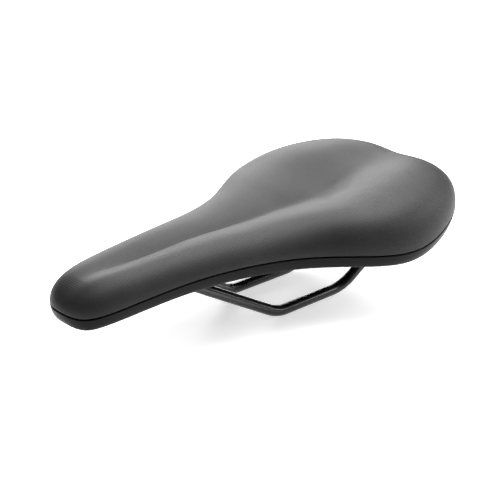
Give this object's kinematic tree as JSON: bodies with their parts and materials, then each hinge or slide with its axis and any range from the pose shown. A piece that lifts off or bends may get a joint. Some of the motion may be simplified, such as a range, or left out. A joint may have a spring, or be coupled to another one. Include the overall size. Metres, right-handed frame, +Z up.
{
  "type": "bicycle saddle",
  "caption": "Sports bicycle saddle with a long nose, raised rear lobes with a shallow valley between them, a padded cover over a moulded base, and parallel steel rails for a seatpost clamp.",
  "frame": {"origin": "on the surface that the rails stand on, under the middle of the saddle's length and width", "axes": "+X forward to the nose, +Y to the rider's left, +Z up"},
  "size_m": [0.2802, 0.1554, 0.0763],
  "materials": {
    "cover": "fine-grained matt synthetic leather, bonded",
    "foam": "moulded closed-cell foam",
    "base": "satin moulded nylon",
    "rail": "gloss black coated steel rod",
    "socket": "fine-textured moulded nylon",
    "bush": "matt",
    "screw": "zinc plated",
    "insert": "machined"
  },
  "bodies": {
    "root": {"cover": "cover", "foam_pad": "foam", "base_shell": "base", "nose_socket": "socket", "rail_left": "rail", "rear_socket_left": "socket", "nose_bush_left": "bush", "rear_bush_left": "bush", "rail_right": "rail", "rear_socket_right": "socket", "nose_bush_right": "bush", "rear_bush_right": "bush", "screw_nose_left": "screw", "insert_nose_left": "insert", "screw_nose_right": "screw", "insert_nose_right": "insert", "screw_rear_left_outer": "screw", "insert_rear_left_outer": "insert", "screw_rear_left_inner": "screw", "insert_rear_left_inner": "insert", "screw_rear_right_outer": "screw", "insert_rear_right_outer": "insert", "screw_rear_right_inner": "screw", "insert_rear_right_inner": "insert"}
  },
  "joints": []
}
